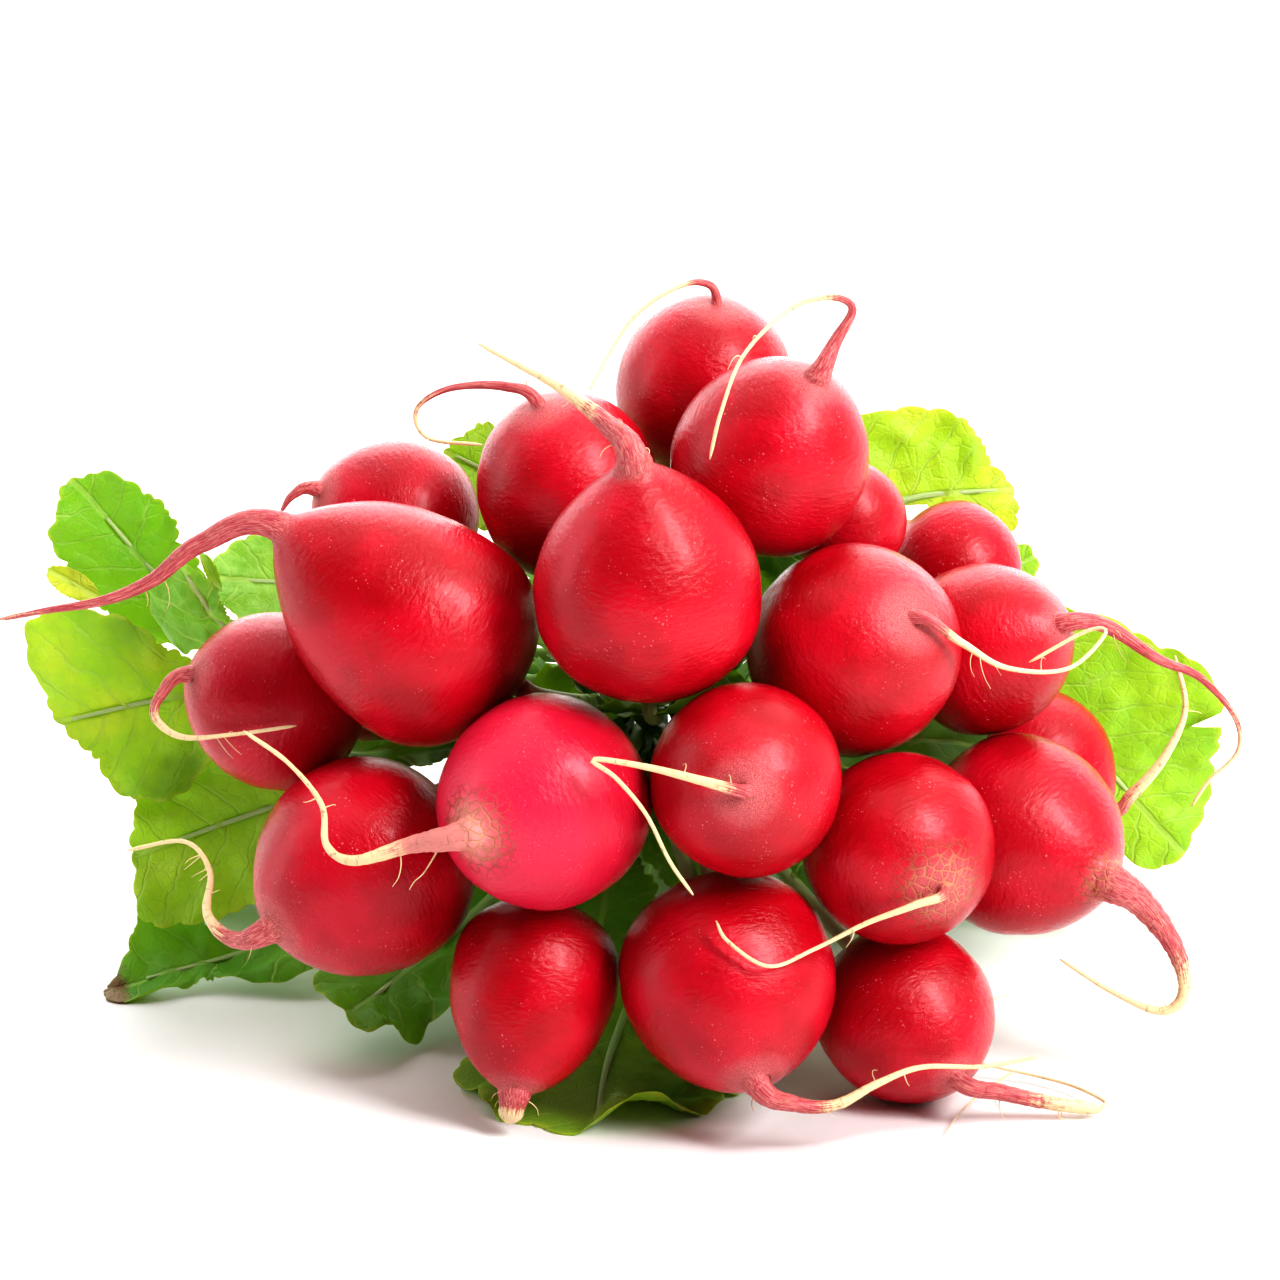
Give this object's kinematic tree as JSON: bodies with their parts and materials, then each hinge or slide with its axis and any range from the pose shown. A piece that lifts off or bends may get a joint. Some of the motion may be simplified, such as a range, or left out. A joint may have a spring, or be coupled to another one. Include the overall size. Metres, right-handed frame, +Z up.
{
  "type": "bunch of radishes",
  "caption": "Fresh bunch of round red radishes with curling tails, lying on its leaves; the leaf stalks are gathered in an elastic band behind the roots.",
  "frame": {"origin": "centre of the bounding box's underside, on the surface that the bunch lies on", "axes": "+Z up; -Y from the leaves towards the root tips; +X to the right as seen from the root tips"},
  "size_m": [0.23, 0.2246, 0.1453],
  "materials": {
    "radish_skin": "satin crimson skin, rose to cream along the tail",
    "leaf_green": "soft sheen, veined, yellow-green at the margins",
    "tie": "plain tan elastic"
  },
  "bodies": {
    "root": {"radish_01": "radish_skin", "radish_02": "radish_skin", "radish_03": "radish_skin", "radish_04": "radish_skin", "radish_05": "radish_skin", "radish_06": "radish_skin", "radish_07": "radish_skin", "radish_08": "radish_skin", "radish_09": "radish_skin", "radish_10": "radish_skin", "radish_11": "radish_skin", "radish_12": "radish_skin", "radish_13": "radish_skin", "radish_14": "radish_skin", "radish_15": "radish_skin", "radish_16": "radish_skin", "radish_17": "radish_skin", "radish_18": "radish_skin", "radish_19": "radish_skin", "radish_20": "radish_skin", "leaf_01": "leaf_green", "leaf_02": "leaf_green", "leaf_03": "leaf_green", "leaf_04": "leaf_green", "leaf_05": "leaf_green", "leaf_06": "leaf_green", "leaf_07": "leaf_green", "leaf_08": "leaf_green", "leaf_09": "leaf_green", "leaf_10": "leaf_green", "leaf_11": "leaf_green", "leaf_12": "leaf_green", "leaf_13": "leaf_green", "leaf_14": "leaf_green", "leaf_15": "leaf_green", "leaf_16": "leaf_green", "leaf_17": "leaf_green", "leaf_18": "leaf_green", "leaf_19": "leaf_green", "leaf_20": "leaf_green", "leaf_21": "leaf_green", "leaf_22": "leaf_green", "leaf_23": "leaf_green", "leaf_24": "leaf_green", "leaf_25": "leaf_green", "leaf_26": "leaf_green", "leaf_27": "leaf_green", "tie_band": "tie"}
  },
  "joints": []
}
